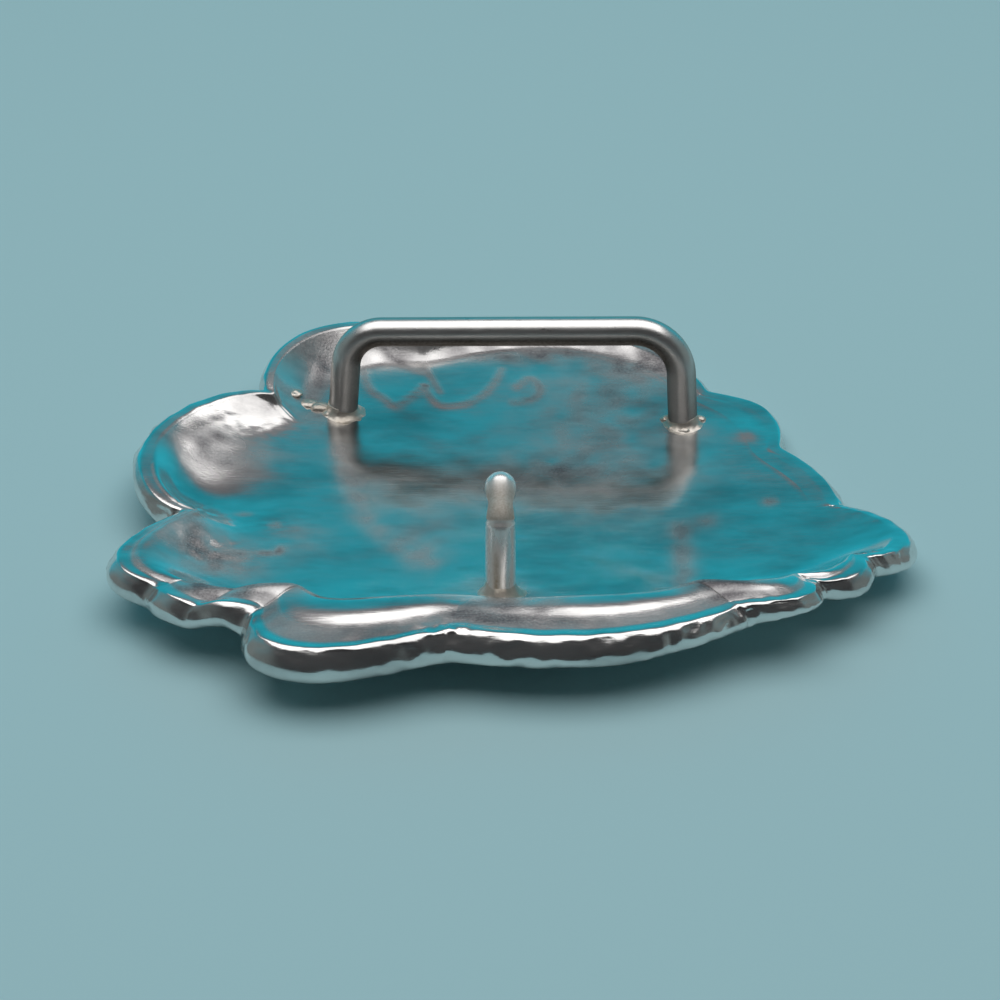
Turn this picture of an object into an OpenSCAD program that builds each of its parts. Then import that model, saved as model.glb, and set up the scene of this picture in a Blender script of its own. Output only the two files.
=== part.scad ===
// Cast belt buckle, lying face down. The dished plate has a petalled outline, and the wire bail and
// the bent hook are soldered to its back. Millimetres, +Z up, +X along the buckle, +Y towards the bail.
// The origin is at the middle of the plate, on the surface that the buckle's face rests on.

/* [Plate] */
// Width of the plate from petal tip to petal tip
plate_w = 90.8; // [80:0.1:100]
// Height of the dish's floor at its middle
floor_z = 2.4; // [2.2:0.1:3.4]
// Rise of the floor from its middle to its edge
floor_rise = 0.9; // [0:0.1:1.4]
// Thickness of the casting under the floor's edge
wall = 1.5; // [1.4:0.1:2.4]
// How late the dish's wall climbs where it doesn't flare: 1 is straight, more is later
climb = 3; // [1.5:0.1:4]
// Radius of the rolled rim
rim_r = 1.1; // [0.6:0.1:1.3]
// How far the outer face stands out past the rim, as a share of its own height
apron = 0.5; // [0.3:0.05:0.6]
// Share of the floor's width that rests on the face
rest_share = 0.5; // [0.3:0.05:0.7]
// Depth of the veins on the face side of the petals
vein = 0.35; // [0:0.05:0.6]

/* [Bail] */
// Diameter of the bail's wire
bail_d = 3.5; // [2.4:0.1:4]
// Place of the left foot along the buckle
foot_left_x = -20.7; // [-24:0.1:-16]
// Place of the right foot along the buckle
foot_right_x = 20.4; // [16:0.1:23]
// Distance of the left foot behind the middle
foot_left_y = 19.3; // [15:0.1:21]
// Distance of the right foot behind the middle
foot_right_y = 16.9; // [14:0.1:18]
// Height of the bail at its left leg, to the wire's centre
bail_left_h = 10.2; // [9:0.1:13]
// Height of the bail at its right leg, to the wire's centre
bail_right_h = 11.6; // [9:0.1:13]
// How far each leg leans in towards the other
leg_in = 0.7; // [0:0.1:2]
// Radius of the bail's bends, to the wire's centre
bail_bend = 5; // [3:0.1:6]
// Lean of the bail away from the hook
bail_lean = 11; // [0:1:20]

/* [Hook] */
// Diameter of the hook's post
post_d = 3.3; // [2.6:0.1:4]
// Length of the post from the floor to the elbow
post_l = 9.8; // [7:0.1:11]
// Lean of the post towards the bail
post_lean = 15; // [5:1:25]
// Diameter of the waist above the elbow
waist_d = 2.7; // [2.2:0.1:3.2]
// Diameter of the ball at the tip
ball_d = 3.5; // [3:0.1:4.4]
// Length from the elbow to the ball's centre
arm_l = 4.1; // [3.8:0.1:8]
// Lean of the arm from upright
arm_lean = 72; // [55:1:85]
// Place of the hook along the buckle
hook_x = -1.6; // [-4:0.1:4]
// Distance of the hook in front of the middle
hook_y = 19.6; // [16:0.1:20]

/* [Solder] */
// Width of the solder round each foot
solder_w = 1.3; // [0.8:0.1:2]

/* [Hidden] */

silver = [0.86, 0.85, 0.83];
grey_silver = [0.78, 0.77, 0.75];
drawn_w = 90.8;             // width that the table of petals below was drawn for
plate_scale = plate_w / drawn_w;
hub = [0.1, -3.15] * plate_scale; // where the table's petals radiate from, so that the box is centred
sunk = 0.9;                 // how far wires go into the plate
bend_over = 0.02;           // how much fatter a bend is than its wire, so that the two join cleanly
bend_run = 1;               // degrees that a bend runs on into the wire at each end
bite = 0.12;                // how far the edge of the solder lies under the plate's surface

// One row for each petal, going round by its angle. The first four columns belong to the notch before it:
// its angle and radius, the height of the rim there, and the radius of the floor's edge there. The rest are
// the petal's: how far the floor's edge follows its bulge, bulge past the line between its notches, lean of
// the bulge (over 1 is towards the next notch), fullness (under 1 is squarer), lift of its rim, flare of its
// wall (0 climbs late, 1 early), share of the way to the rim that the wall takes before a brim begins, fall
// of the brim to the rim, and height of the outer face.
ANGLE = 0;
RADIUS = 1;
HEIGHT = 2;
FLOOR = 3;
SPREAD = 4;
BULGE = 5;
LEAN = 6;
FULL = 7;
LIFT = 8;
FLARE = 9;
REACH = 10;
STEP = 11;
FACE = 12;
petals = [
    [  1.5, 37.4, 3.5, 34.0, 0.5,  0.6, 1.00, 1.00, 0.0, 0.5, 1.00, 0.0, 2.3], // flank
    [ 24.0, 34.1, 3.4, 30.6, 1.0,  2.8, 1.00, 1.10, 0.0, 0.5, 1.00, 0.0, 2.3], // shoulder
    [ 49.0, 35.4, 3.4, 32.5, 3.2,  3.9, 0.85, 1.00, 0.2, 0.2, 1.00, 0.0, 2.6], // crown
    [108.0, 38.4, 5.6, 34.8, 3.6,  5.6, 1.00, 0.70, 1.2, 0.5, 1.00, 0.0, 2.8], // brow
    [143.0, 36.8, 6.0, 31.0, 2.0,  6.9, 1.15, 0.58, 1.0, 0.3, 1.00, 0.0, 3.0], // ear
    [185.5, 37.5, 5.8, 31.0, 1.0,  5.2, 1.10, 0.65, 0.9, 0.5, 0.85, 0.3, 3.4], // knuckle
    [207.0, 43.8, 6.6, 31.5, 0.0,  1.0, 0.80, 0.80, 0.5, 0.3, 0.75, 0.4, 3.4], // hem
    [215.0, 42.2, 7.0, 30.0, 0.0, -0.3, 1.00, 1.00, 0.8, 0.2, 0.60, 0.5, 3.4], // scallop
    [223.0, 38.4, 7.8, 26.0, 0.0,  5.2, 0.60, 1.50, 0.2, 1.0, 0.42, 0.7, 4.4], // shell
    [256.5, 31.0, 8.0, 18.6, 0.0, -0.8, 0.50, 1.00, 0.2, 1.0, 0.46, 0.6, 3.9], // lip
    [313.5, 34.8, 7.6, 22.0, 0.0,  3.1, 1.40, 0.80, 0.8, 0.8, 0.75, 0.5, 2.1], // button
    [329.2, 37.4, 7.0, 27.5, 0.0,  3.0, 0.70, 0.60, 0.4, 0.5, 0.90, 0.2, 3.0], // bead
    [339.6, 40.6, 6.8, 33.0, 0.0,  5.6, 0.80, 0.75, 0.3, 0.3, 1.00, 0.0, 3.0]  // tip
];
petal_count = len(petals);
step_angle = 4;             // a petal gets one section for each of these degrees
least_steps = 7;            // and this many more
lip_rise = 0.25;            // how far the rim stands above the brim, as a share of the brim's fall

function mix(a, b, t) = a + (b - a) * t;
function smooth(t) = t * t * (3 - 2 * t);
function clip(t) = min(1, max(0, t));
function arch(t) = max(0, sin(180 * t));

function next(i) = (i + 1) % petal_count;
function before(i) = (i + petal_count - 1) % petal_count;
function span(i) = petals[next(i)][ANGLE] + (next(i) == 0 ? 360 : 0) - petals[i][ANGLE];

// A notch's column runs on to the next notch's, and a petal's column eases into its neighbours'.
function along(i, t, column) = mix(petals[i][column], petals[next(i)][column], t);
function eased(i, t, column) =
    t < 0.5
        ? mix((petals[i][column] + petals[before(i)][column]) / 2, petals[i][column], smooth(2 * t))
        : mix(petals[i][column], (petals[i][column] + petals[next(i)][column]) / 2, smooth(2 * t - 1));

function rim_angle(i, t) = petals[i][ANGLE] + span(i) * t;
function bulge(i, t) = pow(arch(pow(t, petals[i][LEAN])), petals[i][FULL]);
function rim_radius(i, t) = along(i, t, RADIUS) + petals[i][BULGE] * bulge(i, t);
function rim_height(i, t) = along(i, t, HEIGHT) + petals[i][LIFT] * pow(arch(t), 0.6);
function floor_radius(i, t) = along(i, smooth(t), FLOOR) + petals[i][SPREAD] * bulge(i, t);

// Each station is a petal and a place along it, closer together near the notches.
stations = [
    for (i = [0 : petal_count - 1])
        let (steps = least_steps + round(span(i) / step_angle))
        for (k = [0 : steps - 1])
            [i, (1 - cos(180 * k / steps)) / 2]
];

// How far the brim has fallen, from 0 at the wall's top to 1 at the rim.
function brim_fall(u) = 0.6 * smooth(clip((u - 0.33) / 0.3)) + 0.4 * clip((u - 0.5) / 0.46);

// Height between the floor's edge (q is 0) and the rim (q is 1): the wall, then the brim.
function wall_height(i, t, q, low, high) =
    let (
        reach = eased(i, t, REACH),
        step = eased(i, t, STEP),
        climbed = min(1, q / reach),
        climbing = mix(pow(climbed, climb), smooth(climbed), eased(i, t, FLARE)),
        fallen = reach < 1 ? brim_fall(clip((q - reach) / (1 - reach))) : smooth(q)
    )
    mix(low, high + step, climbing) - step * fallen;
function back_height(i, t, q) =
    wall_height(i, t, q, floor_z + floor_rise, rim_height(i, t) - lip_rise * eased(i, t, STEP));
function face_height(i, t, q) =
    wall_height(i, t, q, floor_z + floor_rise - wall, rim_height(i, t) - eased(i, t, FACE))
    + vein * arch(q) * cos(360 * 3 * t);

// One section of the plate as [radius, height] points, from the back's middle over the rim to the face's.
inner_shares = [0.3, 0.6, 0.85];
outer_shares = [0, 0.12, 0.24, 0.36, 0.48, 0.6, 0.74, 0.88];
function section(i, t) =
    let (
        edge = floor_radius(i, t),
        rim = rim_radius(i, t),
        top = rim_height(i, t),
        drop = eased(i, t, FACE),
        out = apron * drop,
        lip = rim - rim_r,
        under = rim - 1.2 * rim_r
    )
    [
        for (s = inner_shares) [edge * s, floor_z + floor_rise * s * s],
        for (q = outer_shares) [mix(edge, lip, q), back_height(i, t, q)],
        [lip, top - lip_rise * eased(i, t, STEP)],
        [rim, top],
        [rim + 0.5 * out, top - 0.1 * drop],
        [rim + 0.93 * out, top - 0.38 * drop],
        [rim + 0.93 * out, top - 0.68 * drop],
        [rim + 0.5 * out, top - 0.92 * drop],
        [under, top - drop],
        for (q = [0.88, 0.72, 0.54, 0.36, 0.18, 0]) [mix(edge, under, q), face_height(i, t, q)],
        for (s = [0.9, 0.75])
            [edge * s, (floor_z + floor_rise - wall) * pow((s - rest_share) / (1 - rest_share), 1.5)],
        [edge * rest_share, 0]
    ];

module plate() {
    sections = [for (s = stations) section(s[0], s[1])];
    angles = [for (s = stations) rim_angle(s[0], s[1])];
    around = len(stations);
    rings = len(sections[0]);
    points = [
        for (j = [0 : around - 1])
            for (p = sections[j])
                [
                    hub[0] + p[0] * plate_scale * cos(angles[j]),
                    hub[1] + p[0] * plate_scale * sin(angles[j]),
                    p[1]
                ]
    ];
    back_middle = len(points);
    face_middle = back_middle + 1;
    faces = [
        for (j = [0 : around - 1])
            let (here = j * rings, there = ((j + 1) % around) * rings)
            each concat(
                [[back_middle, there, here]],
                [for (k = [0 : rings - 2]) [here + k, there + k, here + k + 1]],
                [for (k = [0 : rings - 2]) [there + k, there + k + 1, here + k + 1]],
                [[face_middle, here + rings - 1, there + rings - 1]]
            )
    ];
    color(silver)
        polyhedron(
            concat(points, [[hub[0], hub[1], floor_z], [hub[0], hub[1], 0]]),
            faces,
            convexity = 6
        );
}

// A round wire through points of the XY plane, with each corner bent to one radius.
function heading(a, b) = atan2(b[1] - a[1], b[0] - a[0]);
function turn(path, k) =
    k == 0 || k == len(path) - 1 ? 0 : heading(path[k], path[k + 1]) - heading(path[k - 1], path[k]);

module bent_wire(path, radius, bend) {
    for (k = [0 : len(path) - 2]) {
        way = heading(path[k], path[k + 1]);
        start = bend * tan(abs(turn(path, k)) / 2);
        stop = norm(path[k + 1] - path[k]) - bend * tan(abs(turn(path, k + 1)) / 2);
        translate(path[k])
            rotate([0, 0, way])
                translate([start, 0, 0])
                    rotate([0, 90, 0])
                        cylinder(r = radius, h = stop - start, $fn = 64);
        // The bend at the end of this stretch turns clockwise.
        sweep = -turn(path, k + 1);
        if (sweep > 0)
            translate(path[k])
                rotate([0, 0, way])
                    translate([stop, -bend, 0])
                        rotate([0, 0, 90 - sweep - bend_run])
                            rotate_extrude(angle = sweep + 2 * bend_run, $fn = 96)
                                translate([bend, 0])
                                    circle(radius + bend_over, $fn = 64);
    }
}

// Height of the back at a point of the plan.
function place(angle) = [
    for (i = [0 : petal_count - 1])
        let (t = ((angle - petals[i][ANGLE] + 720) % 360) / span(i))
        if (t < 1)
            [i, t]
][0];
function back_at(x, y) =
    let (
        from_hub = [x, y] - hub,
        at = place(atan2(from_hub[1], from_hub[0])),
        edge = floor_radius(at[0], at[1]),
        r = norm(from_hub) / plate_scale,
        q = (r - edge) / (rim_radius(at[0], at[1]) - rim_r - edge)
    )
    q < 0 ? floor_z + floor_rise * pow(r / edge, 2) : back_height(at[0], at[1], q);

module bail() {
    left = [foot_left_x, foot_left_y];
    right = [foot_right_x, foot_right_y];
    apart = norm(right - left);
    base = min(back_at(left[0], left[1]), back_at(right[0], right[1]));
    color(silver)
        translate([left[0], left[1], base])
            rotate([0, 0, heading(left, right)])
                rotate([90 - bail_lean, 0, 0])
                    bent_wire(
                        [
                            [0, -sunk],
                            [leg_in, bail_left_h],
                            [apart - leg_in, bail_right_h],
                            [apart, -sunk]
                        ],
                        bail_d / 2,
                        bail_bend
                    );
}

// The hook's arm as a turned shape: elbow, waist and ball.
module arm() {
    arm_steps = 8;
    ball = ball_d / 2;
    neck_end = arm_l - 0.8 * ball;
    neck_d = 2 * sqrt(ball * ball - pow(0.8 * ball, 2));
    function arm_radius(t) =
        t < 0.4
            ? mix(post_d, waist_d, smooth(t / 0.4)) / 2
            : mix(waist_d, max(neck_d, waist_d), smooth((t - 0.4) / 0.6)) / 2;
    rotate_extrude($fn = 64)
        polygon(concat(
            [[0, 0]],
            [for (k = [0 : arm_steps]) [arm_radius(k / arm_steps), neck_end * k / arm_steps]],
            [[0, neck_end]]
        ));
    translate([0, 0, arm_l])
        sphere(ball, $fn = 64);
}

module hook() {
    base = back_at(hook_x, -hook_y);
    color(silver)
        translate([hook_x, -hook_y, base])
            rotate([-post_lean, 0, 0]) {
                translate([0, 0, -sunk])
                    cylinder(d = post_d, h = post_l + sunk, $fn = 64);
                translate([0, 0, post_l]) {
                    sphere(post_d / 2 + bend_over, $fn = 64);
                    rotate([post_lean - arm_lean, 0, 0])
                        arm();
                }
            }
}

// A hollow ring of solder round a foot, drawn up the wire by its own width.
module fillet(radius) {
    low = -0.6;
    top = solder_w - bite;
    rotate_extrude($fn = 64)
        difference() {
            translate([0, low])
                square([radius + solder_w, top - low]);
            translate([radius + solder_w, top])
                circle(solder_w, $fn = 64);
        }
}

// A low drop of solder, a cap cut from a sphere.
module drop(x, y, width, height) {
    ball = (width * width / 4 + height * height) / (2 * height);
    low = 0.5;
    translate([x, y, back_at(x, y)])
        intersection() {
            translate([0, 0, height - ball])
                sphere(ball, $fn = 64);
            translate([-width, -width, -low])
                cube([2 * width, 2 * width, height + 2 * low]);
        }
}

module solder() {
    color(grey_silver) {
        translate([foot_left_x, foot_left_y, back_at(foot_left_x, foot_left_y)])
            fillet(bail_d / 2);
        translate([foot_right_x, foot_right_y, back_at(foot_right_x, foot_right_y)])
            fillet(bail_d / 2);
        translate([hook_x, -hook_y, back_at(hook_x, -hook_y)])
            fillet(post_d / 2);
        drop(foot_left_x - 3.2, foot_left_y - 0.4, 4.6, 1.1);
        drop(foot_right_x + 0.4, foot_right_y - 2.3, 2.4, 0.7);
    }
}

module buckle() {
    union() {
        plate();
        bail();
        hook();
        solder();
    }
}

buckle();
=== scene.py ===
import math

import bpy
import numpy as np
from mathutils import Matrix, Vector, noise


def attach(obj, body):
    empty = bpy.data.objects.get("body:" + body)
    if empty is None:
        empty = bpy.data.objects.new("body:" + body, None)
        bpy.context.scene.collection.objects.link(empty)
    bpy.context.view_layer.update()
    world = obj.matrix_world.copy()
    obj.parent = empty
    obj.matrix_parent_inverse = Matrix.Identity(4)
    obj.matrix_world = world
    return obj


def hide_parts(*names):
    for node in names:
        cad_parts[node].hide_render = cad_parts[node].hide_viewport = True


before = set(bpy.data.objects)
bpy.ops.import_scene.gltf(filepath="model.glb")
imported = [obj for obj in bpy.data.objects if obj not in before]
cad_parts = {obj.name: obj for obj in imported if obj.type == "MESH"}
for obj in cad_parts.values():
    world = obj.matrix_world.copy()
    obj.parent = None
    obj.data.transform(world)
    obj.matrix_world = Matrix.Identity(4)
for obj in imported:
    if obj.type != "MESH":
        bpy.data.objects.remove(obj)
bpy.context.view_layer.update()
mm = 0.001  # sizes below are millimetres in the frame's axes, and meshes are made in metres
print("frame loaded")


def addObject(name, data):
    thing = bpy.data.objects.new(name, data)
    bpy.context.collection.objects.link(thing)
    return thing


# Camera

cameraSettings = {
    "target": (-1.65, -0.22, 3.0),
    "elevation": 33.0,  # degrees above the floor
    "distance": 400.0,
    "lens": 123.84,
    "sensor": 36.0,
    "clip": (0.01, 20),  # metres
}


def setCamera(s):
    tilt = math.radians(s["elevation"])
    back = Vector((0, -math.cos(tilt), math.sin(tilt)))
    data = bpy.data.cameras.new("camera")
    data.lens = s["lens"]
    data.sensor_width = s["sensor"]
    data.clip_start, data.clip_end = s["clip"]
    camera = addObject("camera", data)
    camera.location = (Vector(s["target"]) + back * s["distance"]) * mm
    camera.rotation_euler = back.to_track_quat("Z", "Y").to_euler()
    bpy.context.scene.camera = camera


setCamera(cameraSettings)
print("camera set")


# Nodes and meshes

def addNode(tree, kind, **values):
    node = tree.nodes.new(kind)
    for name, value in values.items():
        if hasattr(node, name):
            setattr(node, name, value)
        else:
            node.inputs[name.replace("_", " ")].default_value = value
    return node


# Puts a value or another node's output into a socket
def plug(tree, socket, value):
    if isinstance(value, bpy.types.NodeSocket):
        tree.links.new(value, socket)
    else:
        socket.default_value = value


def feed(tree, node, *values):
    for socket, value in zip(node.inputs, values):
        plug(tree, socket, value)
    return node.outputs[0]


def calc(tree, operation, *values):
    return feed(tree, addNode(tree, "ShaderNodeMath", operation=operation), *values)


def remap(tree, value, low, high, newLow, newHigh):
    return feed(tree, addNode(tree, "ShaderNodeMapRange"), value, low, high, newLow, newHigh)


def blendColours(tree, share, first, second):
    node = addNode(tree, "ShaderNodeMix", data_type="RGBA")
    for place, value in zip((0, 6, 7), (share, first, second)):  # its sockets for a share and two colours
        plug(tree, node.inputs[place], value)
    return node.outputs[2]


def makeMaterial(name, **shaderValues):
    material = bpy.data.materials.new(name)
    material.use_nodes = True
    shader = material.node_tree.nodes["Principled BSDF"]
    for socket, value in shaderValues.items():
        shader.inputs[socket.replace("_", " ")].default_value = value
    return material, material.node_tree, shader


# How dull each point is, from 0 to 1, for the metals to read: rougher, less metallic and darker there, which
# in many places is painted shade
def setDull(mesh, dull):
    mesh.attributes.new("dull", "FLOAT", "POINT").data.foreach_set("value", np.asarray(dull, np.float32))


def makeMesh(name, points, faces, material, dull=None):
    mesh = bpy.data.meshes.new(name)
    mesh.from_pydata((np.asarray(points) * mm).tolist(), [], faces)
    mesh.update()
    mesh.polygons.foreach_set("use_smooth", [True] * len(mesh.polygons))
    mesh.materials.append(material)
    if dull is not None:
        setDull(mesh, dull)
    return addObject(name, mesh)


def mix(a, b, t):
    return a + (b - a) * t


def smooth(t):
    t = np.clip(t, 0, 1)
    return t * t * (3 - 2 * t)


def arch(t):
    return np.maximum(0, np.sin(np.pi * t))


# Noise from -1 to 1 at each point of a plan, with another pattern for each layer
def grainAt(x, y, size, layer=0.0):
    flat = [noise.noise((a / size, b / size, layer)) for a, b in zip(np.ravel(x), np.ravel(y))]
    return np.reshape(flat, np.shape(x))


# Materials

silverSettings = {
    "colour": (0.90, 0.885, 0.86, 1),
    # The darker colour: tarnish in clouds, and painted shade where the dull attribute is placed as shade
    "tarnish": (0.16, 0.148, 0.155, 1),
    "tarnishAmount": 0.5,  # in the darkest clouds
    "tarnishSpan": (0.45, 0.75),  # values of the clouds where tarnish begins and where it is darkest
    "cloudsPerMm": (0.07, 0.15, 0.15),
    "roughness": (0.13, 0.20),
    "edge": (1, 1, 1, 1),  # tint of grazing reflections
    "metal": 1.0,
    "metalLoss": 0.75,  # how much less metallic the dull places are
    "dullRoughness": 0.10,  # how much rougher the dull places are
    "spotted": (0.7, 1.0),  # how evenly the dull places are dull
    "scratchesPerMm": (0.25, 5.0, 5.0),  # long along the buckle, close together across it
    "scratchDepth": 0.009,
    "grainPerMm": (3.5, 3.5, 3.5),
    "grainDepth": 0.05,  # on the dull places
}
noiseSpan = (0.3, 0.7)  # values that most of a noise lies between


def addNoise(tree, place, perMm, detail):
    stretch = addNode(tree, "ShaderNodeMapping", Scale=[v / mm for v in perMm])
    pattern = addNode(tree, "ShaderNodeTexNoise", Scale=1.0, Detail=detail, Roughness=0.6)
    tree.links.new(place, stretch.inputs["Vector"])
    tree.links.new(stretch.outputs["Vector"], pattern.inputs["Vector"])
    return pattern.outputs["Fac"]


def makeSilver(name, **changes):
    s = dict(silverSettings, **changes)
    material, tree, shader = makeMaterial(name, Specular_Tint=s["edge"], Metallic=s["metal"])
    link = tree.links.new
    place = addNode(tree, "ShaderNodeTexCoord").outputs["Object"]
    dull = addNode(tree, "ShaderNodeAttribute", attribute_name="dull").outputs["Fac"]
    scratches = addNoise(tree, place, s["scratchesPerMm"], 4.0)
    clouds = addNoise(tree, place, s["cloudsPerMm"], 6.0)
    grain = addNoise(tree, place, s["grainPerMm"], 3.0)
    patchy = remap(tree, clouds, *s["tarnishSpan"], 0.0, s["tarnishAmount"])
    spotted = remap(tree, grain, *noiseSpan, *s["spotted"])
    # Share of the darker colour: tarnish clouds, plus the dull attribute, which in places is painted shade
    tarnishedAndShaded = calc(tree, "ADD", patchy, calc(tree, "MULTIPLY", dull, spotted))
    tarnishedAndShaded = calc(tree, "MINIMUM", tarnishedAndShaded, 1.0)
    link(blendColours(tree, tarnishedAndShaded, s["colour"], s["tarnish"]), shader.inputs["Base Color"])
    if s["metalLoss"]:
        lost = calc(tree, "MULTIPLY", dull, s["metalLoss"])
        link(calc(tree, "SUBTRACT", s["metal"], lost), shader.inputs["Metallic"])
    rough = remap(tree, scratches, *noiseSpan, *s["roughness"])
    rough = calc(tree, "ADD", rough, calc(tree, "MULTIPLY", dull, s["dullRoughness"]))
    link(rough, shader.inputs["Roughness"])
    scratched = calc(tree, "MULTIPLY", scratches, s["scratchDepth"])
    grained = calc(tree, "MULTIPLY", calc(tree, "MULTIPLY", grain, s["grainDepth"]), dull)
    bump = addNode(tree, "ShaderNodeBump", Strength=1.0, Distance=mm)
    link(calc(tree, "ADD", scratched, grained), bump.inputs["Height"])
    link(bump.outputs["Normal"], shader.inputs["Normal"])
    return material


plateSilver = makeSilver("plateSilver")
wireSilver = makeSilver(
    "wireSilver",
    # Near black, so that the dulled underside of the wire is painted shade
    tarnish=(0.05, 0.042, 0.034, 1),
    tarnishAmount=0.15,
    roughness=(0.26, 0.34),
    edge=(0.45, 0.42, 0.38, 1),
    metalLoss=0.45,
    spotted=(0.92, 1.0),
    scratchesPerMm=(0.4, 4.0, 4.0),
    scratchDepth=0.003,
    grainDepth=0.01,
)
hookSilver = makeSilver(
    "hookSilver",
    colour=(0.96, 0.95, 0.93, 1),
    tarnish=(0.30, 0.24, 0.16, 1),
    tarnishAmount=0.3,
    roughness=(0.2, 0.3),
    metal=0.7,
    metalLoss=0.3,
    dullRoughness=0.6,
    scratchesPerMm=(3.0, 3.0, 0.3),
    scratchDepth=0.004,
    grainDepth=0.01,
)
solderSilver = makeSilver(
    "solderSilver",
    colour=(0.72, 0.67, 0.60, 1),
    tarnish=(0.42, 0.36, 0.28, 1),
    tarnishAmount=0.9,
    roughness=(0.3, 0.45),
    metal=0.85,
    metalLoss=0,
    scratchesPerMm=(2.0, 2.0, 2.0),
    scratchDepth=0.03,
)
print("materials made")


# Plate: one casting whose outline, dish and rim follow a table of petals

# Each petal starts at a notch. The columns give the notch's angle, the rim's distance and height there and
# the distance of the floor's edge. Between the notches they give how far floor and rim swell out, how the
# swelling leans and how full it is, how much higher the rim is, how softly the wall climbs, the share of the
# way out where it ends, the height of the brim's step, and the depth of the outer face
petalColumns = (
    "angle", "radius", "height", "floor", "spread", "bulge",
    "lean", "full", "lift", "flare", "reach", "step", "face",
)
petalRows = (
    (1.5, 37.4, 3.5, 34.0, 0.5, 0.6, 1.00, 1.00, 0.0, 0.5, 1.00, 0.0, 2.3),  # flank
    (24.0, 34.1, 3.4, 30.6, 1.0, 2.8, 1.00, 1.10, 0.0, 0.5, 1.00, 0.0, 2.3),  # shoulder
    (49.0, 35.4, 3.4, 32.5, 3.2, 3.9, 0.85, 1.00, 0.2, 0.2, 1.00, 0.0, 2.6),  # crown
    (108.0, 38.4, 5.6, 34.8, 3.6, 5.6, 1.00, 0.70, 1.2, 0.5, 1.00, 0.0, 2.8),  # brow
    (143.0, 36.8, 6.0, 31.0, 2.0, 6.9, 1.15, 0.58, 1.0, 0.3, 1.00, 0.0, 3.0),  # ear
    (185.5, 37.5, 5.8, 31.0, 1.0, 5.2, 1.30, 0.95, 0.9, 0.5, 0.85, 0.3, 3.4),  # knuckle
    (207.0, 43.8, 6.6, 31.5, 0.0, 1.0, 0.80, 0.80, 0.5, 0.3, 0.75, 0.4, 3.4),  # hem
    (215.0, 42.2, 7.0, 30.0, 0.0, -0.3, 1.00, 1.00, 0.8, 0.2, 0.60, 0.5, 3.4),  # scallop
    (223.0, 38.4, 7.8, 26.0, 0.0, 5.2, 0.60, 1.50, 0.2, 1.0, 0.42, 0.7, 4.4),  # shell
    (256.5, 31.0, 8.0, 18.6, 0.0, -0.8, 0.50, 1.00, 0.2, 1.0, 0.46, 0.6, 3.9),  # lip
    (313.5, 34.8, 7.6, 22.0, 0.0, 3.1, 1.40, 0.80, 0.8, 0.8, 0.75, 0.5, 2.1),  # button
    (329.2, 37.4, 7.0, 27.5, 0.0, 3.0, 0.70, 0.60, 0.4, 0.5, 0.90, 0.2, 3.0),  # bead
    (339.6, 40.6, 6.8, 33.0, 0.0, 5.6, 0.80, 0.75, 0.3, 0.3, 1.00, 0.0, 3.0),  # tip
)
petals = {name: np.array(column) for name, column in zip(petalColumns, zip(*petalRows))}
petalSpans = np.diff(np.append(petals["angle"], petals["angle"][0] + 360))

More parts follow.
